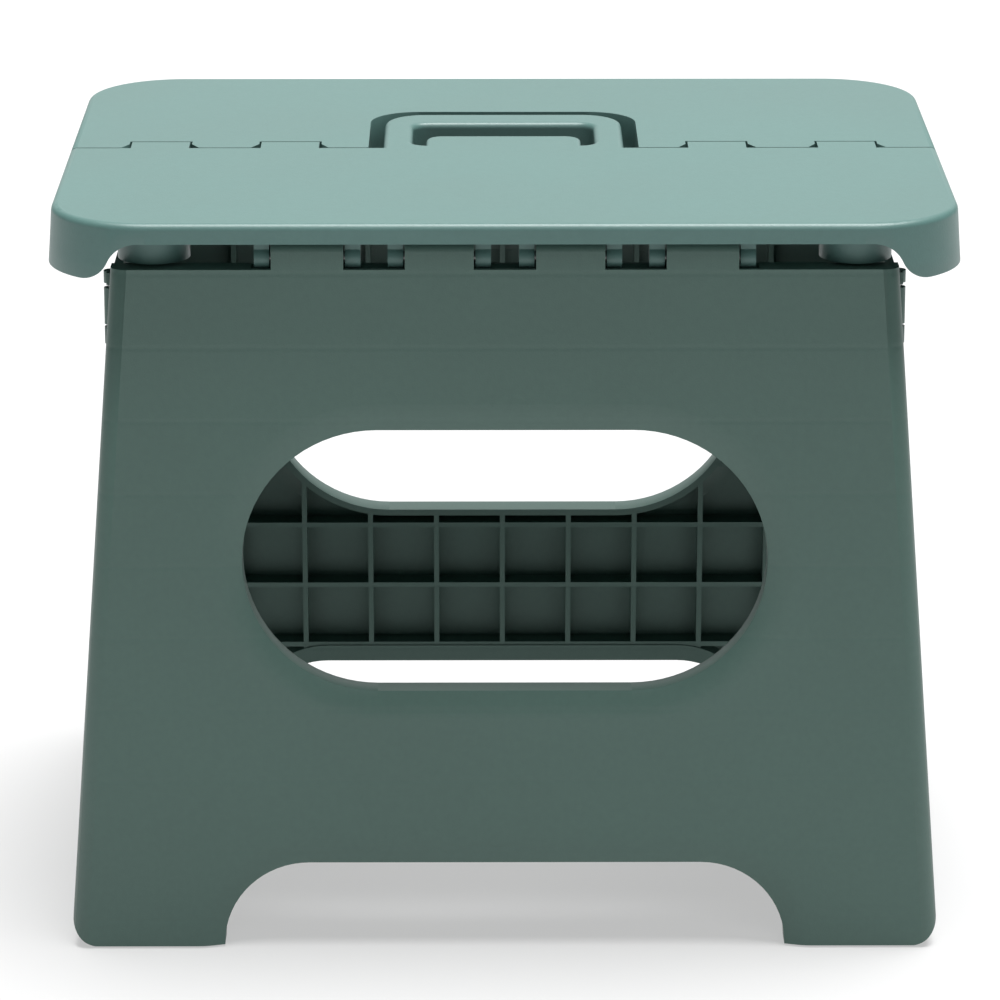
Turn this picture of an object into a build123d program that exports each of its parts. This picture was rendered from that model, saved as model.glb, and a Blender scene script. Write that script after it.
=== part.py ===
from build123d import *
import os
from math import atan2, cos, degrees, radians, sin, tan

# Folding step stool. Millimetres, +Z up, X along the seat's long side, front towards -Y.
# The origin is on the floor, under the middle of the seat. Two seat halves meet at a castellated
# seam over a low centre hinge. Each half is hinged to a leg panel, and on each side two gusset
# panels tie the legs together and fold inwards when the handle is pulled up.

# ---- driving dimensions -------------------------------------------------------------------
WIDTH = 320.0            # seat top, X
DEPTH = 240.0            # seat top and feet, Y
HEIGHT = 270.0           # floor to seat top
SEAT_CORNER = 35.0       # plan corner radius
WALL = 2.8               # seat deck and skirt
TOP_EDGE = 2.5           # rounding of the seat's top edge
SKIRT_DRAFT = 4.0        # degrees that the skirt flares outwards
EMBED = 0.2              # overlap of joined solids
SIDE_SKIRT_BOTTOM = 249.3
END_SKIRT_BOTTOM = 263.0
SKIRT_CURVE_START = 127.5   # X where the end skirt starts to drop into the corner lobe
SKIRT_CURVE_END = 148.8     # X where it reaches the side skirt's lower edge
SKIRT_CURVE_UPPER = 12.0    # radius of the upper arc of that S-curve
SEAM_SKIRT_RISE = 3.3       # how far the side skirt rises at the seam
SEAM_SKIRT_RUN = 55.0       # over this distance from the seam
RIB = 2.0
RIB_BOTTOM = 257.0
RIB_X = (0.0, 23.0, 46.0, 69.0, 94.5)
RIB_Y = (38.0, 66.0, 93.0)
RIB_END = 94.0
RIB_REACH = WIDTH / 2 - WALL + EMBED

SEAM = -2.0              # Y of the base line of the seam
SEAM_GAP = 0.8
TAB_REACH = 8.0          # Y that the front half's tabs reach
TAB_CENTRES = (79.05, 127.05)
TAB_WIDTH = 22.3
TAB_CHAMFER = (3.0, 6.0)

HANDLE_HALF = 44.6
HANDLE_END = 55.0
HANDLE_CORNER = 15.0
HANDLE_THICK = 10.0
HANDLE_EDGE = 2.2        # rounding of the bars
LOOP_EMBED = 3.0         # the loop starts this far inside the front half
HIDDEN_END = 40.0        # length of a rounded plan that is cut off at the seam
TONGUE_EDGE = 1.5
THROUGH = 2.0            # a cut or a joined block runs this far past a face
BORE_PAST_PIN = 0.5
RECESS_HALF = 50.0
RECESS_END = 58.4
SLOT_HALF = 33.8
SLOT_NEAR = 3.0
SLOT_FAR = 39.0
SLOT_CORNER = 6.0
TONGUE_HALF = 28.7
TONGUE_END = 18.0
TONGUE_CORNER = 6.0

CENTRE_AXIS_Z = 252.0
CENTRE_KNUCKLE_R = 4.5
CENTRE_PIN_R = 2.0
FRONT_KNUCKLES = ((68.3, 89.8), (116.3, 137.8))
REAR_KNUCKLES = ((53.0, 67.0), (91.1, 115.0))

LEG_AXIS_Z = 254.5
LEG_FACE_TOP = (111.0, 245.0)    # distance of the leg's outer face from the middle, at this height
LEG_FACE_FLOOR = 120.0
LEG_AXIS_INSET = 6.5     # leg hinge axis behind the leg's outer face
LEG_DEPTH = 11.9
LEG_SKIN = 2.5
LEG_HALF_TOP = 138.2     # half width at the shoulder
LEG_HALF_FLOOR = 157.5
LEG_SIDE_EDGE = 6.0      # rounding of the leg's side edges
OPENING_RUN = 7.0        # shallow roll around window and arch: width on the face
OPENING_DROP = 2.0       # and depth at the opening
OPENING_BLEND = 20.0     # blend radius between face and roll
SHOULDER = -3.3          # top of the leg between its tabs, from the hinge axis
LEG_RAIL_BOTTOM = -9.5
LEG_TABS = ((10.9, 35.0), (56.5, 81.8))
LEG_TAB_TOP = 6.5
TAB_OUTER_R = 3.5
TAB_INNER_R = 5.2
END_NOTCH = 7.2          # room for the outermost ears
FOOT_OUTER_R = 10.0
SOLE = 4.0
WINDOW_HALF = 93.5
WINDOW_LOW = 96.8
WINDOW_HIGH = 193.0
ARCH_HALF = 101.5
ARCH_TOP = 31.6
ARCH_CORNER = 30.8
GRID_X = 26.5
GRID_Z = 25.6
GRID_Z_FIRST = 13.3

EAR_R = 4.4
EAR_WIDTH = 5.4
EAR_GAP = 0.6
EAR_RELIEF = 5.0
EAR_FRONT = 2.8
LEG_PIN_R = 2.0
RUNNING = 0.05           # radial clearance of a pin that turns

BOSS_X = 123.6
BOSS_Y = 93.0
BOSS_R = 12.8
BOSS_WALL = 2.2
BOSS_BOTTOM = 252.2

GUSSET_X = 138.4         # the leg-side hinge line of a gusset
GUSSET_INSET = 7.5       # that line behind the leg hinge axis, in the leg's own frame
GUSSET_THICK = 3.2
RAIL_HALF = 1.6          # half thickness of the leg's wall behind the gusset hinge
RAIL_FILLED = 178.0      # above this height the wall and the leg's side are one
GUSSET_TOP = 242.1
GUSSET_LOW = 62.0
GUSSET_LOW_MIDDLE = 92.0
GUSSET_KNUCKLE_R = 2.9
GUSSET_PIN_R = 1.25
GUSSET_BANDS = ((229.0, 242.1), (146.0, 160.0), (66.0, 80.0))
LEG_BANDS = ((243.9, 248.2), (222.0, 228.0), (161.0, 166.0), (140.0, 145.0), (81.0, 86.0), (60.0, 65.0))
PIN_RUNS = ((223.0, 247.2), (141.0, 165.0), (61.0, 85.0))
KNUCKLE_ROOM = 0.6       # radial room around a knuckle
KNUCKLE_END_GAP = 0.6
POCKET_DEEP = 1.2        # shallow panels in the gusset's outer face
POCKET_BORDER = 9.0
POCKET_BAR = 4.0
POCKET_BARS = (101.0, 148.0, 195.0, 233.1)
MIDDLE_KNUCKLE_R = 3.2
MIDDLE_PIN_R = 1.0
MIDDLE_HOLE_R = 2.3      # the loose side of the middle pivot
MIDDLE_BACKSET = 4.6     # edge of the panel from the middle hinge line
MIDDLE_BANDS_FRONT = ((93.0, 117.0), (142.0, 166.0), (191.0, 215.0))
MIDDLE_BANDS_REAR = ((118.0, 141.0), (167.0, 190.0), (216.0, 240.0))

PAD_PROUD = 0.8
PAD_THICK = 2.8
PAD_SPAN = (110.0, 148.0)
PAD_DEPTH = 7.4

# ---- worked out ---------------------------------------------------------------------------
LEG_TILT = degrees(atan2(LEG_FACE_FLOOR - LEG_FACE_TOP[0], LEG_FACE_TOP[1]))
LEG_FACE_AT_AXIS = LEG_FACE_FLOOR - LEG_AXIS_Z * tan(radians(LEG_TILT))
LEG_AXIS_Y = LEG_FACE_AT_AXIS - LEG_AXIS_INSET / cos(radians(LEG_TILT))
LEG_BACK = LEG_DEPTH - LEG_AXIS_INSET
SIDE_SLOPE = (LEG_HALF_FLOOR - LEG_HALF_TOP) / (LEG_AXIS_Z + SHOULDER)
DECK_UNDER = HEIGHT - WALL
MIDDLE_X = GUSSET_X + GUSSET_THICK / 2
CENTRE_PIN_SPAN = (REAR_KNUCKLES[0][0] + 2.0, FRONT_KNUCKLES[1][1] - 2.0)
EAR_REACH = EAR_GAP + EAR_WIDTH
PIN_SHORT = 1.4          # a leg hinge pin ends this far inside the ears' outer faces
LEG_PIN_SPANS = tuple((x0 - EAR_REACH + PIN_SHORT, x1 + EAR_REACH - PIN_SHORT) for x0, x1 in LEG_TABS)
FAR = 400.0


def block(x0, x1, y0, y1, z0, z1):
    """Box between two corners."""
    centre = Pos((x0 + x1) / 2, (y0 + y1) / 2, (z0 + z1) / 2)
    return centre * Box(abs(x1 - x0), abs(y1 - y0), abs(z1 - z0))


def rod_x(x0, x1, y, z, radius):
    """Cylinder along X."""
    return Pos((x0 + x1) / 2, y, z) * Rot(0, 90, 0) * Cylinder(radius, abs(x1 - x0))


def rod_z(x, y, z0, z1, radius):
    """Cylinder along Z."""
    return Pos(x, y, (z0 + z1) / 2) * Cylinder(radius, z1 - z0)


def both_sides(shape):
    """The shape and its mirror image across X = 0."""
    return shape + mirror(shape, Plane.YZ)


def place_leg(shape, rear=False):
    """Move a shape from the leg's own frame (hinge axis at the origin) to the front or rear leg."""
    placed = Pos(0, -LEG_AXIS_Y, LEG_AXIS_Z) * Rot(-LEG_TILT, 0, 0) * shape
    return Rot(0, 0, 180) * placed if rear else placed


def along_leg(height):
    """Distance up the leg, from its hinge axis, of a height above the floor."""
    return (height - LEG_AXIS_Z) / cos(radians(LEG_TILT))


# ---- seat ---------------------------------------------------------------------------------
def plan_block(inset, z0, z1):
    """Seat plan, wider at the bottom by the skirt's draft."""
    grow = (HEIGHT - z0) * tan(radians(SKIRT_DRAFT)) - inset
    face = RectangleRounded(WIDTH + 2 * grow, DEPTH + 2 * grow, SEAT_CORNER + grow)
    return Pos(0, 0, z0) * extrude(face, amount=z1 - z0, taper=SKIRT_DRAFT)


def skirt_cutter():
    """Prism under the end skirts: flat in the middle, an S-curve down to the lobes at the corners."""
    drop = END_SKIRT_BOTTOM - SIDE_SKIRT_BOTTOM
    run = SKIRT_CURVE_END - SKIRT_CURVE_START
    turn = 2 * atan2(drop, run)
    bend_x = SKIRT_CURVE_START + SKIRT_CURVE_UPPER * sin(turn)
    bend_z = END_SKIRT_BOTTOM - SKIRT_CURVE_UPPER * (1 - cos(turn))
    below = SIDE_SKIRT_BOTTOM - 10
    with BuildSketch(Plane.XZ) as profile:
        with BuildLine():
            Line((-SKIRT_CURVE_START, END_SKIRT_BOTTOM), (SKIRT_CURVE_START, END_SKIRT_BOTTOM))
            TangentArc((SKIRT_CURVE_START, END_SKIRT_BOTTOM), (bend_x, bend_z), tangent=(1, 0))
            TangentArc((SKIRT_CURVE_END, SIDE_SKIRT_BOTTOM), (bend_x, bend_z), tangent=(-1, 0))
            Line((SKIRT_CURVE_END, SIDE_SKIRT_BOTTOM), (SKIRT_CURVE_END, below))
            Line((SKIRT_CURVE_END, below), (-SKIRT_CURVE_END, below))
            Line((-SKIRT_CURVE_END, below), (-SKIRT_CURVE_END, SIDE_SKIRT_BOTTOM))
            TangentArc((-SKIRT_CURVE_END, SIDE_SKIRT_BOTTOM), (-bend_x, bend_z), tangent=(1, 0))
            TangentArc((-SKIRT_CURVE_START, END_SKIRT_BOTTOM), (-bend_x, bend_z), tangent=(-1, 0))
        make_face()
    return extrude(profile.sketch, amount=FAR / 2, both=True)


def seam_relief():
    """Wedge that raises the side skirts' lower edge towards the seam."""
    with BuildSketch(Plane.YZ) as profile:
        Polygon((-SEAM_SKIRT_RUN, SIDE_SKIRT_BOTTOM), (0, SIDE_SKIRT_BOTTOM + SEAM_SKIRT_RISE),
                (SEAM_SKIRT_RUN, SIDE_SKIRT_BOTTOM), align=None)
    return extrude(profile.sketch, amount=FAR / 2, both=True)


def seat_shell():
    shell = plan_block(0, SIDE_SKIRT_BOTTOM, HEIGHT)
    shell = fillet(shell.faces().sort_by(Axis.Z)[-1].edges(), TOP_EDGE)
    shell -= plan_block(WALL, SIDE_SKIRT_BOTTOM - 1, DECK_UNDER)
    shell -= skirt_cutter()
    return shell - seam_relief()


def leg_ears(sign):
    """Ears that hold the leg's hinge pins, one on each side of every leg tab."""
    y_axis = sign * LEG_AXIS_Y
    y_out = y_axis + sign * EAR_FRONT
    y_in = y_axis - sign * EAR_R
    ears = None
    for inner, outer in LEG_TABS:
        for x0 in (inner - EAR_GAP - EAR_WIDTH, outer + EAR_GAP):
            x1 = x0 + EAR_WIDTH
            ear = block(x0, x1, y_out, y_in, LEG_AXIS_Z, DECK_UNDER + EMBED)
            ear += rod_x(x0, x1, y_axis, LEG_AXIS_Z, EAR_R)
            ears = ear if ears is None else ears + ear
    for span in LEG_PIN_SPANS:
        ears -= rod_x(span[0] - 0.2, span[1] + 0.2, y_axis, LEG_AXIS_Z, LEG_PIN_R + RUNNING)
    return both_sides(ears)


def corner_bosses(sign):
    """Hollow cylinders that stand over the leg's shoulders."""
    boss = rod_z(BOSS_X, sign * BOSS_Y, BOSS_BOTTOM, DECK_UNDER + EMBED, BOSS_R)
    boss -= rod_z(BOSS_X, sign * BOSS_Y, BOSS_BOTTOM - 1, DECK_UNDER, BOSS_R - BOSS_WALL)
    return both_sides(boss)


def hinge_knuckles(spans, y0, y1):
    """Barrels of the centre hinge with their webs up to the deck."""
    knuckles = None
    for x0, x1 in spans:
        knuckle = rod_x(x0, x1, 0, CENTRE_AXIS_Z, CENTRE_KNUCKLE_R)
        knuckle += block(x0, x1, y0, y1, CENTRE_AXIS_Z, DECK_UNDER + EMBED)
        knuckles = knuckle if knuckles is None else knuckles + knuckle
    return both_sides(knuckles)


def ribs_along_y(sign, start, xs):
    ribs = None
    for x in xs:
        rib = block(x - RIB / 2, x + RIB / 2, sign * start, sign * RIB_END, RIB_BOTTOM, DECK_UNDER + EMBED)
        ribs = rib if ribs is None else ribs + rib
    return both_sides(ribs)


def tab_plan(clearance, reach, chamfer=False):
    """Plan of the seam's tabs, grown by a clearance; the recess has chamfered mouths."""
    half = TAB_WIDTH / 2 + clearance
    tabs = None
    for x in TAB_CENTRES:
        tab = block(x - half, x + half, -10, reach, SIDE_SKIRT_BOTTOM - 20, HEIGHT + 5)
        if chamfer:
            dx, dy = TAB_CHAMFER
            with BuildSketch() as mouth:
                Polygon((x - half - dx, SEAM), (x + half + dx, SEAM), (x + half, SEAM + dy),
                        (x - half, SEAM + dy), align=None)
            tab += Pos(0, 0, DECK_UNDER - 2) * extrude(mouth.sketch, amount=WALL + 7)
        tabs = tab if tabs is None else tabs + tab
    return both_sides(tabs)


def handle_loop():
    """Carrying handle of the front half, with the tongue that fills the near side of its slot."""
    near = SEAM - LOOP_EMBED
    length = HANDLE_END + HIDDEN_END
    loop = extrude(RectangleRounded(2 * HANDLE_HALF, length, HANDLE_CORNER), amount=HANDLE_THICK)
    loop = Pos(0, HANDLE_END - length / 2, HEIGHT - HANDLE_THICK) * loop
    slot_long = SLOT_FAR - SLOT_NEAR
    slot = extrude(RectangleRounded(2 * SLOT_HALF, slot_long, SLOT_CORNER), amount=HANDLE_THICK + 2 * THROUGH)
    loop -= Pos(0, (SLOT_FAR + SLOT_NEAR) / 2, HEIGHT - HANDLE_THICK - THROUGH) * slot
    top = loop.faces().filter_by(Axis.Z).sort_by(Axis.Z)[-1]
    bottom = loop.faces().filter_by(Axis.Z).sort_by(Axis.Z)[0]
    loop = fillet(top.edges() + bottom.edges(), HANDLE_EDGE)
    tongue_long = TONGUE_END + HIDDEN_END
    tongue = extrude(RectangleRounded(2 * TONGUE_HALF, tongue_long, TONGUE_CORNER), amount=WALL + THROUGH)
    tongue = fillet(tongue.faces().sort_by(Axis.Z)[-1].edges(), TONGUE_EDGE)
    loop += Pos(0, TONGUE_END - tongue_long / 2, HEIGHT - WALL - THROUGH) * tongue
    return loop & block(-FAR, FAR, near, FAR, 0, FAR)


def handle_recess(grow, z0, z1):
    length = RECESS_END + HIDDEN_END + grow
    plan = RectangleRounded(2 * (RECESS_HALF + grow), length, HANDLE_CORNER + 3 + grow)
    return Pos(0, RECESS_END + grow - length / 2, z0) * extrude(plan, amount=z1 - z0)


def seat_front():
    edge = SEAM - SEAM_GAP / 2
    region = block(-FAR, FAR, -FAR, edge, 0, FAR) + tab_plan(-SEAM_GAP / 2, TAB_REACH - SEAM_GAP / 2)
    half = seat_shell() & region
    half += block(-RIB_REACH, RIB_REACH, edge - 2.5, edge, RIB_BOTTOM, DECK_UNDER + EMBED)
    half += ribs_along_y(-1, 4.0, RIB_X)
    for y in RIB_Y:
        half += block(-RIB_REACH, RIB_REACH, -y - RIB / 2, -y + RIB / 2, RIB_BOTTOM, DECK_UNDER + EMBED)
    half += hinge_knuckles(FRONT_KNUCKLES, -CENTRE_KNUCKLE_R, CENTRE_KNUCKLE_R)
    half += leg_ears(-1)
    half += corner_bosses(-1)
    half += handle_loop()
    x0, x1 = CENTRE_PIN_SPAN
    bore = rod_x(x0 - BORE_PAST_PIN, x1 + BORE_PAST_PIN, 0, CENTRE_AXIS_Z, CENTRE_PIN_R + RUNNING)
    return half - both_sides(bore)


def seat_rear():
    edge = SEAM + SEAM_GAP / 2
    wall_y = TAB_REACH + SEAM_GAP / 2
    half = seat_shell() & block(-FAR, FAR, edge, FAR, 0, FAR)
    half += block(-RIB_REACH, RIB_REACH, wall_y, wall_y + 2.5, RIB_BOTTOM, DECK_UNDER + EMBED)
    half += handle_recess(2.5, RIB_BOTTOM, DECK_UNDER + EMBED) & block(-FAR, FAR, wall_y, FAR, 0, FAR)
    half += ribs_along_y(1, wall_y, RIB_X)
    for y in RIB_Y:
        half += block(-RIB_REACH, RIB_REACH, y - RIB / 2, y + RIB / 2, RIB_BOTTOM, DECK_UNDER + EMBED)
    half += hinge_knuckles(REAR_KNUCKLES, edge, CENTRE_KNUCKLE_R)
    x0, x1 = REAR_KNUCKLES[1]
    half += block(x0, x1, edge, wall_y, DECK_UNDER - 6, DECK_UNDER + EMBED)
    half += leg_ears(1)
    half += corner_bosses(1)
    half -= handle_recess(0, 0, FAR)
    half -= tab_plan(SEAM_GAP / 2, wall_y, chamfer=True)
    for x0, x1 in REAR_KNUCKLES:
        barrel = rod_x(x0, x1, 0, CENTRE_AXIS_Z, CENTRE_KNUCKLE_R)
        half += both_sides(barrel)
    return half - both_sides(centre_pin())


def centre_pin():
    """Pin of the centre hinge on the X > 0 side."""
    x0, x1 = CENTRE_PIN_SPAN
    return rod_x(x0, x1, 0, CENTRE_AXIS_Z, CENTRE_PIN_R)


# ---- legs (built upright, hinge axis at the origin, outer face towards -Y) -------------------
def side_at(w, inset):
    half = LEG_HALF_TOP + SIDE_SLOPE * (SHOULDER - w)
    return half - inset / cos(atan2(SIDE_SLOPE, 1))


def leg_slab(inset, face, back):
    """Panel with window and arch, sides running past the floor, edges of the outer face rolled."""
    low = along_leg(-35)
    high = 25.0
    floor = along_leg(0)
    window_mid = along_leg((WINDOW_LOW + WINDOW_HIGH) / 2)
    window_high = WINDOW_HIGH - WINDOW_LOW
    with BuildSketch(Plane.XZ.offset(-back)) as outline:
        Polygon((-side_at(low, inset), low), (side_at(low, inset), low),
                (side_at(high, inset), high), (-side_at(high, inset), high), align=None)
        with Locations((0, window_mid)):
            SlotOverall(2 * (WINDOW_HALF + inset), window_high + 2 * inset, mode=Mode.SUBTRACT)
        with Locations((0, floor - 20)):
            arch_high = 2 * (ARCH_TOP + 20 + inset)
            RectangleRounded(2 * (ARCH_HALF + inset), arch_high, ARCH_CORNER + inset, mode=Mode.SUBTRACT)
        with Locations((0, floor - 60)):
            Rectangle(2 * (ARCH_HALF + inset), 80, mode=Mode.SUBTRACT)
    slab = extrude(outline.sketch, amount=back + face)
    front = slab.faces().sort_by(Axis.Y)[0]
    rims = [e for e in front.edges() if low + 1 < e.center().Z < high - 1]
    openings = [e for e in rims if abs(e.center().X) < ARCH_HALF + inset + 1]
    run = OPENING_RUN - inset
    drop = OPENING_DROP * run / OPENING_RUN
    slab = chamfer(openings, run, drop, reference=front)
    front = slab.faces().sort_by(Axis.Y)[0]
    rims = [e for e in front.edges() if low + 1 < e.center().Z < high - 1]
    creases = [e for e in rims if abs(e.center().X) < ARCH_HALF + OPENING_RUN + 1]
    slab = fillet(creases, OPENING_BLEND)
    front = slab.faces().sort_by(Axis.Y)[0]
    rims = [e for e in front.edges() if low + 1 < e.center().Z < high - 1]
    sides = [e for e in rims if abs(e.center().X) > ARCH_HALF + 2 * OPENING_RUN]
    return fillet(sides, LEG_SIDE_EDGE - inset)


def leg_outline(inset, top, floor_lift):
    """Prism of the leg's front view down to the floor, with rounded foot corners."""
    floor = along_leg(floor_lift) - 0.4
    with BuildSketch(Plane.XZ) as outline:
        Polygon((-side_at(floor, inset), floor), (side_at(floor, inset), floor),
                (side_at(top, inset), top), (-side_at(top, inset), top), align=None)
        with Locations((0, floor)):
            arch_high = 2 * (ARCH_TOP + inset)
            RectangleRounded(2 * (ARCH_HALF + inset), arch_high, ARCH_CORNER + inset, mode=Mode.SUBTRACT)
        low = outline.vertices().filter_by_position(Axis.Y, floor - 0.1, floor + 0.1).sort_by(Axis.X)
        fillet([low[0], low[-1]], FOOT_OUTER_R - inset)
    return extrude(outline.sketch, amount=40, both=True)


def leg_ribs():
    """Grid of thin ribs behind the skin, with a wall behind each gusset hinge."""
    y0 = -LEG_AXIS_INSET + LEG_SKIN - 0.3
    y1 = LEG_BACK - 0.5
    ribs = None
    for i in range(-5, 6):
        rib = block(i * GRID_X - RIB / 2, i * GRID_X + RIB / 2, y0, y1, -270, -5)
        ribs = rib if ribs is None else ribs + rib
    for j in range(10):
        w = along_leg(GRID_Z_FIRST + j * GRID_Z)
        ribs += block(-170, 170, y0, y1, w - RIB / 2, w + RIB / 2)
    rail_low = along_leg(LEG_BANDS[-1][0] - 4)
    ribs += both_sides(block(GUSSET_X - RAIL_HALF, GUSSET_X + RAIL_HALF, y0, LEG_BACK, rail_low, -5))
    filled = along_leg(RAIL_FILLED)
    ribs += both_sides(block(GUSSET_X - RAIL_HALF, 170, y0, LEG_BACK, filled, -5))
    return ribs


def leg_tab(x0, x1):
    """Tab that rises under the end skirt around the hinge axis."""
    tab = block(x0, x1, -LEG_AXIS_INSET, LEG_BACK, LEG_RAIL_BOTTOM, LEG_TAB_TOP)
    outer = tab.edges().filter_by(Axis.X).sort_by(Axis.Z)[-2:].sort_by(Axis.Y)[0]
    tab = fillet(outer, TAB_OUTER_R)
    inner = tab.edges().filter_by(Axis.X).sort_by(Axis.Z)[-2:].sort_by(Axis.Y)[-1]
    return fillet(inner, TAB_INNER_R)


def leg_body():
    leg = leg_slab(0, LEG_AXIS_INSET, LEG_BACK) & leg_outline(0, SHOULDER, PAD_PROUD)
    cavity = leg_slab(LEG_SKIN, LEG_AXIS_INSET - LEG_SKIN, LEG_BACK + 1)
    cavity &= leg_outline(LEG_SKIN, LEG_RAIL_BOTTOM, PAD_PROUD + SOLE)
    leg = leg - cavity + (leg_ribs() & cavity)
    for inner, outer in LEG_TABS:
        leg += both_sides(leg_tab(inner, outer))
    (x0, x1), (x2, x3) = LEG_TABS
    leg -= rod_x(-x0, x0, 0, 0, EAR_RELIEF)
    leg -= both_sides(rod_x(x1, x2, 0, 0, EAR_RELIEF))
    leg -= both_sides(rod_x(x3, x3 + END_NOTCH, 0, 0, EAR_RELIEF))
    for low, high in GUSSET_BANDS:
        w0 = along_leg(low) - KNUCKLE_END_GAP
        w1 = along_leg(high) + KNUCKLE_END_GAP
        leg -= both_sides(rod_z(GUSSET_X, GUSSET_INSET, w0, w1, GUSSET_KNUCKLE_R + KNUCKLE_ROOM))
    for low, high in LEG_BANDS:
        w0 = along_leg(low)
        w1 = along_leg(high)
        knuckle = rod_z(GUSSET_X, GUSSET_INSET, w0, w1, GUSSET_KNUCKLE_R)
        knuckle += block(GUSSET_X - 2.4, GUSSET_X + 1.6, LEG_BACK - 3, GUSSET_INSET, w0, w1)
        leg += both_sides(knuckle)
    for low, high in PIN_RUNS:
        leg -= both_sides(rod_z(GUSSET_X, GUSSET_INSET, along_leg(low), along_leg(high), GUSSET_PIN_R))
    for x0, x1 in LEG_PIN_SPANS:
        leg -= both_sides(rod_x(x0, x1, 0, 0, LEG_PIN_R))
    return leg


def finished_leg(body, rear):
    leg = place_leg(body, rear) & block(-FAR, FAR, -FAR, FAR, PAD_PROUD, FAR)
    for x_sign in (-1, 1):
        leg -= foot_pad(x_sign, rear)
    return leg


def foot_pad(x_sign, rear):
    """Non-slip pad let into the sole of one foot."""
    mid = (PAD_SPAN[0] + PAD_SPAN[1]) / 2
    y_mid = LEG_FACE_FLOOR - LEG_DEPTH / 2
    pad = extrude(RectangleRounded(PAD_SPAN[1] - PAD_SPAN[0], PAD_DEPTH, 2.5), amount=PAD_THICK)
    return Pos(x_sign * mid, y_mid if rear else -y_mid, 0) * pad


def gusset_pins(x_sign, rear):
    """Three short pins on one leg-side hinge line."""
    leg_sign = -x_sign if rear else x_sign
    pins = [rod_z(leg_sign * GUSSET_X, GUSSET_INSET, along_leg(low), along_leg(high), GUSSET_PIN_R)
            for low, high in PIN_RUNS]
    return [place_leg(pin, rear) for pin in pins]


# ---- gussets ------------------------------------------------------------------------------
def gusset_line(z):
    """Y of the leg-side hinge line of the front gussets at a height."""
    tilt = radians(LEG_TILT)
    return -LEG_AXIS_Y + GUSSET_INSET / cos(tilt) - (LEG_AXIS_Z - z) * tan(tilt)


def hinge_line_rod(band, grow, radius):
    """Cylinder on the leg-side hinge line between two heights, lengthened at both ends."""
    low, high = band
    return place_leg(rod_z(GUSSET_X, GUSSET_INSET, along_leg(low) - grow, along_leg(high) + grow, radius))


def gusset(front):
    """Side panel at X > 0 in the front half; front and rear panels differ in their middle knuckles."""
    line = gusset_line
    x0 = GUSSET_X - GUSSET_THICK / 2
    x1 = GUSSET_X + GUSSET_THICK / 2
    with BuildSketch(Plane.YZ.offset(x0)) as outline:
        Polygon((line(GUSSET_LOW), GUSSET_LOW), (-MIDDLE_BACKSET, GUSSET_LOW_MIDDLE),
                (-MIDDLE_BACKSET, GUSSET_TOP), (line(GUSSET_TOP), GUSSET_TOP), align=None)
    panel = extrude(outline.sketch, amount=GUSSET_THICK)
    with BuildSketch(Plane.YZ.offset(x1 - POCKET_DEEP)) as pockets:
        for low, high in zip(POCKET_BARS[:-1], POCKET_BARS[1:]):
            z0 = low + POCKET_BAR / 2
            z1 = high - POCKET_BAR / 2
            y_middle = -MIDDLE_BACKSET - POCKET_BORDER
            Polygon((line(z0) + POCKET_BORDER, z0), (y_middle, z0),
                    (y_middle, z1), (line(z1) + POCKET_BORDER, z1), align=None)
    panel -= extrude(pockets.sketch, amount=GUSSET_THICK)
    for band in LEG_BANDS:
        panel -= hinge_line_rod(band, KNUCKLE_END_GAP, GUSSET_KNUCKLE_R + KNUCKLE_ROOM)
    for band in GUSSET_BANDS:
        panel += hinge_line_rod(band, 0, GUSSET_KNUCKLE_R)
    for run in PIN_RUNS:
        panel -= hinge_line_rod(run, 1, GUSSET_PIN_R + RUNNING)
    for low, high in MIDDLE_BANDS_FRONT if front else MIDDLE_BANDS_REAR:
        panel += block(x0, x1, -MIDDLE_BACKSET - 1, 0, low, high)
        panel += rod_z(MIDDLE_X, 0, low, high, MIDDLE_KNUCKLE_R)
        hole = MIDDLE_HOLE_R if front else MIDDLE_PIN_R
        panel -= rod_z(MIDDLE_X, 0, low - 1, high + 1, hole)
    return panel


def middle_pin(x_sign):
    z0 = MIDDLE_BANDS_FRONT[0][0] + 1
    z1 = MIDDLE_BANDS_REAR[-1][1] - 1
    return rod_z(x_sign * MIDDLE_X, 0, z0, z1, MIDDLE_PIN_R)


# ---- write the parts ----------------------------------------------------------------------
def make_parts():
    parts = {"seat_front": seat_front(), "seat_rear": seat_rear()}
    body = leg_body()
    front_gusset = gusset(True)
    rear_gusset = gusset(False)
    for rear, end in ((False, "front"), (True, "rear")):
        parts[f"leg_{end}"] = finished_leg(body, rear)
        number = 0
        for x_sign in (-1, 1):
            side = "left" if x_sign < 0 else "right"
            if rear:
                panel = mirror(rear_gusset, Plane.XZ) if x_sign > 0 else Rot(0, 0, 180) * rear_gusset
            else:
                panel = front_gusset if x_sign > 0 else mirror(front_gusset, Plane.YZ)
            parts[f"gusset_{side}_{end}"] = panel
            parts[f"gusset_pins_{side}_{end}"] = Compound(children=gusset_pins(x_sign, rear))
            parts[f"foot_pad_{side}_{end}"] = foot_pad(x_sign, rear)
        for x_sign, spans in ((-1, LEG_PIN_SPANS[::-1]), (1, LEG_PIN_SPANS)):
            for x0, x1 in spans:
                number += 1
                y = LEG_AXIS_Y if rear else -LEG_AXIS_Y
                pin = rod_x(x_sign * x0, x_sign * x1, y, LEG_AXIS_Z, LEG_PIN_R)
                parts[f"leg_hinge_pin_{end}_{number}"] = pin
    for x_sign, side in ((-1, "left"), (1, "right")):
        pin = centre_pin()
        parts[f"seat_hinge_pin_{side}"] = pin if x_sign > 0 else mirror(pin, Plane.YZ)
        parts[f"gusset_middle_pin_{side}"] = middle_pin(x_sign)
    return parts


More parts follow.
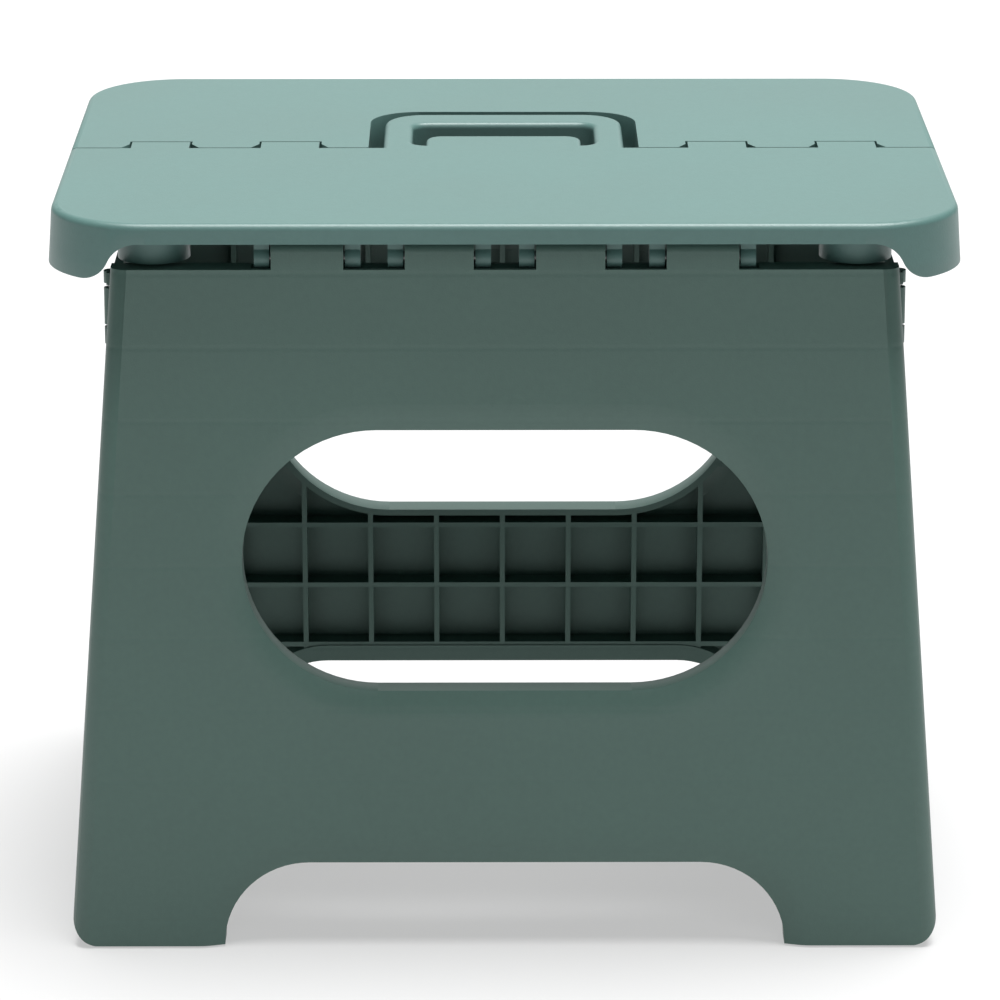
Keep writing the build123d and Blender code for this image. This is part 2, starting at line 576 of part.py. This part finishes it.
if __name__ == "__main__":
    os.makedirs("parts", exist_ok=True)
    for name, shape in make_parts().items():
        export_step(shape, f"parts/{name}.step")
        solids = shape.solids()
        box = shape.bounding_box()
        print(f"{name:26s} solids {len(solids)} volume {shape.volume:10.0f} "
              f"x {box.min.X:7.1f} {box.max.X:7.1f} y {box.min.Y:7.1f} {box.max.Y:7.1f} "
              f"z {box.min.Z:6.1f} {box.max.Z:6.1f}")
    print(f"leg axis y {LEG_AXIS_Y:.3f} z {LEG_AXIS_Z} tilt {LEG_TILT:.4f}")
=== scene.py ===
import math

import bpy
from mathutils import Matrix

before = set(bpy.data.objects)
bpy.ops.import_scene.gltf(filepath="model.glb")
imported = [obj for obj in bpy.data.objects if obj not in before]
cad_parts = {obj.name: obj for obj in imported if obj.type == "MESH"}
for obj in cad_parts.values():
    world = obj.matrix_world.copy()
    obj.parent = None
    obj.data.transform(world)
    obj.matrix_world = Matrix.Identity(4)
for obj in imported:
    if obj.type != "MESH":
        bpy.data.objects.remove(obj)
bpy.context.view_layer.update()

# ---- camera ---------------------------------------------------------------------------------
CAMERA_PLACE = (-0.0078, -1.7395, 0.6716)
CAMERA_PITCH = 17.204
CAMERA_PAN = -0.213
CAMERA_LENS = 173.2
SENSOR_WIDTH = 36.0
VIEW_RANGE = 50.0


def make_camera():
    data = bpy.data.cameras.new("studio_camera")
    data.lens = CAMERA_LENS
    data.sensor_width = SENSOR_WIDTH
    data.clip_end = VIEW_RANGE
    camera = bpy.data.objects.new("studio_camera", data)
    camera.location = CAMERA_PLACE
    camera.rotation_euler = (math.radians(90.0 - CAMERA_PITCH), 0.0, math.radians(CAMERA_PAN))
    bpy.context.collection.objects.link(camera)
    bpy.context.scene.camera = camera


# ---- light and floor --------------------------------------------------------------------------
SKY_COLOUR = (0.97, 1.0, 1.0, 1.0)
SKY = 0.12
SUN_POWER = 6.0
SUN_SPREAD = 40.0
SUN_LEAN = (-5.0, 6.0)
# place, tilt, size and power of each lamp; the back one gives the top its sheen
SOFTBOXES = {
    "back_softbox": ((0.0, 2.5, 1.05), 90.0, (3.0, 1.6), 12.5),
    "front_softbox": ((0.25, -1.15, 1.15), -48.0, (0.8, 0.4), 2.4),
}
FLOOR_SIZE = 14.0
FLOOR_GLOW = 0.46


def softbox(name, place, tilt, size, power):
    """Rectangular lamp; a tilt of 0 shines straight down, 90 to the front and -90 to the back."""
    data = bpy.data.lights.new(name, "AREA")
    data.shape = "RECTANGLE"
    data.size, data.size_y = size
    data.energy = power
    lamp = bpy.data.objects.new(name, data)
    lamp.location = place
    lamp.rotation_euler = (math.radians(-tilt), 0.0, 0.0)
    bpy.context.collection.objects.link(lamp)


def make_light():
    world = bpy.data.worlds.new("studio")
    world.use_nodes = True
    background = world.node_tree.nodes["Background"]
    background.inputs["Color"].default_value = SKY_COLOUR
    background.inputs["Strength"].default_value = SKY
    bpy.context.scene.world = world
    data = bpy.data.lights.new("overhead", "SUN")
    data.energy = SUN_POWER
    data.angle = math.radians(SUN_SPREAD)
    lamp = bpy.data.objects.new("overhead", data)
    lamp.rotation_euler = (math.radians(SUN_LEAN[0]), math.radians(SUN_LEAN[1]), 0.0)
    bpy.context.collection.objects.link(lamp)
    for name, (place, tilt, size, power) in SOFTBOXES.items():
        softbox(name, place, tilt, size, power)
    bpy.context.scene.view_settings.view_transform = "Standard"


def make_floor():
    bpy.ops.mesh.primitive_plane_add(size=FLOOR_SIZE, location=(0.0, 0.0, 0.0))
    floor = bpy.context.object
    floor.name = "studio_floor"
    floor.data.materials.append(floor_material())


# ---- materials --------------------------------------------------------------------------------
FLOOR_TONES = ((0.30, 0.30, 0.30, 1.0), (0.33, 0.33, 0.33, 1.0))
SEAT_TONES = ((0.083, 0.166, 0.152, 1.0), (0.095, 0.189, 0.174, 1.0))
LEG_TONES = ((0.063, 0.121, 0.103, 1.0), (0.073, 0.139, 0.118, 1.0))
STEEL_TONES = ((0.30, 0.31, 0.31, 1.0), (0.48, 0.49, 0.49, 1.0))
RUBBER_TONES = ((0.012, 0.015, 0.013, 1.0), (0.03, 0.035, 0.032, 1.0))
SEAT_ROUGHNESS = 0.42
LEG_ROUGHNESS = 0.45
GRAIN = 0.35
GRAIN_DEPTH = 0.00015
MARK_START = 0.0106        # height of one level mark
MARK_PITCH = 0.0266        # a little wider than the pitch of the ribs behind
MARK_WIDTH = 0.0016
MARK_DEPTH = 0.00006
UPRIGHT_SHARE = 0.35       # depth of the upright marks against the level ones
SEAT_ROUNDING = 0.0005
LEG_ROUNDING = 0.0003
WELD_REACH = 0.00001
SHARP_ANGLE = 38.0


def new_material(name):
    material = bpy.data.materials.new(name)
    material.use_nodes = True
    nodes = material.node_tree.nodes
    return material, nodes, material.node_tree.links, nodes["Principled BSDF"]


def noise_on(nodes, links, place, scale, detail=2.0):
    """Noise in the object's own frame, in cells of 1 / scale metres."""
    noise = nodes.new("ShaderNodeTexNoise")
    noise.inputs["Scale"].default_value = scale
    noise.inputs["Detail"].default_value = detail
    links.new(place.outputs["Object"], noise.inputs["Vector"])
    return noise.outputs["Fac"]


def tint(nodes, links, value, shader, tones, ends=(0.0, 1.0)):
    """Base colour between two tones, led by a value that spans the two ends."""
    ramp = nodes.new("ShaderNodeValToRGB")
    for stop, tone, end in zip(ramp.color_ramp.elements, tones, ends):
        stop.position = end
        stop.color = tone
    links.new(value, ramp.inputs["Fac"])
    links.new(ramp.outputs["Color"], shader.inputs["Base Color"])


def floor_material():
    material, nodes, links, shader = new_material("pale_floor")
    noise = nodes.new("ShaderNodeTexNoise")
    noise.inputs["Scale"].default_value = 3.0
    tint(nodes, links, noise.outputs["Fac"], shader, FLOOR_TONES)
    shader.inputs["Roughness"].default_value = 0.9
    shader.inputs["Emission Color"].default_value = (1.0, 1.0, 1.0, 1.0)
    shader.inputs["Emission Strength"].default_value = FLOOR_GLOW
    return material


def calculate(nodes, links, operation, first, second=0.0):
    """Math node fed by a socket and by a number or a second socket; returns its output."""
    node = nodes.new("ShaderNodeMath")
    node.operation = operation
    links.new(first, node.inputs[0])
    if isinstance(second, float):
        node.inputs[1].default_value = second
    else:
        links.new(second, node.inputs[1])
    return node.outputs[0]


def mark_lines(nodes, links, along, start, pitch, width):
    """Depth of a row of sink marks: 1 on a mark, 0 between the marks."""
    shifted = calculate(nodes, links, "ADD", along, pitch / 2 - start)
    steps = calculate(nodes, links, "DIVIDE", shifted, pitch)
    share = calculate(nodes, links, "FRACT", steps)
    centred = calculate(nodes, links, "SUBTRACT", share, 0.5)
    away = calculate(nodes, links, "ABSOLUTE", centred)
    mark = nodes.new("ShaderNodeMapRange")
    mark.interpolation_type = "SMOOTHSTEP"
    mark.inputs["From Max"].default_value = width / pitch
    mark.inputs["To Min"].default_value = 1.0
    mark.inputs["To Max"].default_value = 0.0
    links.new(away, mark.inputs["Value"])
    return mark.outputs["Result"]


def add_sink_marks(material):
    """Faint grid of sink marks on a leg's face."""
    nodes = material.node_tree.nodes
    links = material.node_tree.links
    shader = nodes["Principled BSDF"]
    place = nodes.new("ShaderNodeTexCoord")
    split = nodes.new("ShaderNodeSeparateXYZ")
    links.new(place.outputs["Object"], split.inputs["Vector"])
    level = mark_lines(nodes, links, split.outputs["Z"], MARK_START, MARK_PITCH, MARK_WIDTH)
    upright = mark_lines(nodes, links, split.outputs["X"], 0.0, MARK_PITCH, MARK_WIDTH)
    faint = calculate(nodes, links, "MULTIPLY", upright, UPRIGHT_SHARE)
    both = calculate(nodes, links, "MAXIMUM", level, faint)
    dent = nodes.new("ShaderNodeBump")
    dent.invert = True
    dent.inputs["Strength"].default_value = 1.0
    dent.inputs["Distance"].default_value = MARK_DEPTH
    grain = shader.inputs["Normal"].links[0].from_node
    links.new(both, dent.inputs["Height"])
    links.new(grain.outputs["Normal"], dent.inputs["Normal"])
    links.new(dent.outputs["Normal"], shader.inputs["Normal"])


def moulded_plastic(name, tones, roughness):
    """Satin polypropylene: cloudy pigment, fine speckle, a fine moulded grain and uneven gloss."""
    material, nodes, links, shader = new_material(name)
    place = nodes.new("ShaderNodeTexCoord")
    cloud = noise_on(nodes, links, place, 9.0, 4.0)
    speck = noise_on(nodes, links, place, 420.0)
    mix = nodes.new("ShaderNodeMix")
    mix.data_type = "FLOAT"
    mix.inputs["Factor"].default_value = 0.35
    links.new(cloud, mix.inputs["A"])
    links.new(speck, mix.inputs["B"])
    tint(nodes, links, mix.outputs["Result"], shader, tones, (0.3, 0.7))
    gloss = nodes.new("ShaderNodeMapRange")
    gloss.inputs["To Min"].default_value = roughness - 0.05
    gloss.inputs["To Max"].default_value = roughness + 0.06
    links.new(cloud, gloss.inputs["Value"])
    links.new(gloss.outputs["Result"], shader.inputs["Roughness"])
    bump = nodes.new("ShaderNodeBump")
    bump.inputs["Strength"].default_value = GRAIN
    bump.inputs["Distance"].default_value = GRAIN_DEPTH
    links.new(noise_on(nodes, links, place, 1500.0), bump.inputs["Height"])
    links.new(bump.outputs["Normal"], shader.inputs["Normal"])
    return material


def steel():
    material, nodes, links, shader = new_material("drawn_steel")
    place = nodes.new("ShaderNodeTexCoord")
    tint(nodes, links, noise_on(nodes, links, place, 900.0), shader, STEEL_TONES)
    shader.inputs["Metallic"].default_value = 1.0
    shader.inputs["Roughness"].default_value = 0.35
    return material


def rubber():
    material, nodes, links, shader = new_material("pad_rubber")
    place = nodes.new("ShaderNodeTexCoord")
    tint(nodes, links, noise_on(nodes, links, place, 700.0), shader, RUBBER_TONES)
    shader.inputs["Roughness"].default_value = 0.85
    return material


def dress(name, material):
    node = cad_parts[name]
    node.data.materials.clear()
    node.data.materials.append(material)
    return node


def soften(node, width):
    """Small rounding of the moulding's sharp edges, so that they catch the light."""
    weld = node.modifiers.new("weld", "WELD")
    weld.merge_threshold = WELD_REACH
    bevel = node.modifiers.new("edge_rounding", "BEVEL")
    bevel.width = width
    bevel.segments = 2
    bevel.limit_method = "ANGLE"
    bevel.angle_limit = math.radians(SHARP_ANGLE)


def dress_frame():
    seat = moulded_plastic("seat_plastic", SEAT_TONES, SEAT_ROUGHNESS)
    legs = moulded_plastic("leg_plastic", LEG_TONES, LEG_ROUGHNESS)
    sides = moulded_plastic("gusset_plastic", LEG_TONES, LEG_ROUGHNESS)
    add_sink_marks(legs)
    metal = steel()
    pad = rubber()
    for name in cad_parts:
        if "pad" in name:
            dress(name, pad)
        elif "pin" in name:
            dress(name, metal)
        elif name.startswith("seat"):
            soften(dress(name, seat), SEAT_ROUNDING)
        elif name.startswith("leg"):
            soften(dress(name, legs), LEG_ROUNDING)
        else:
            dress(name, sides)


make_camera()
make_light()
make_floor()
dress_frame()
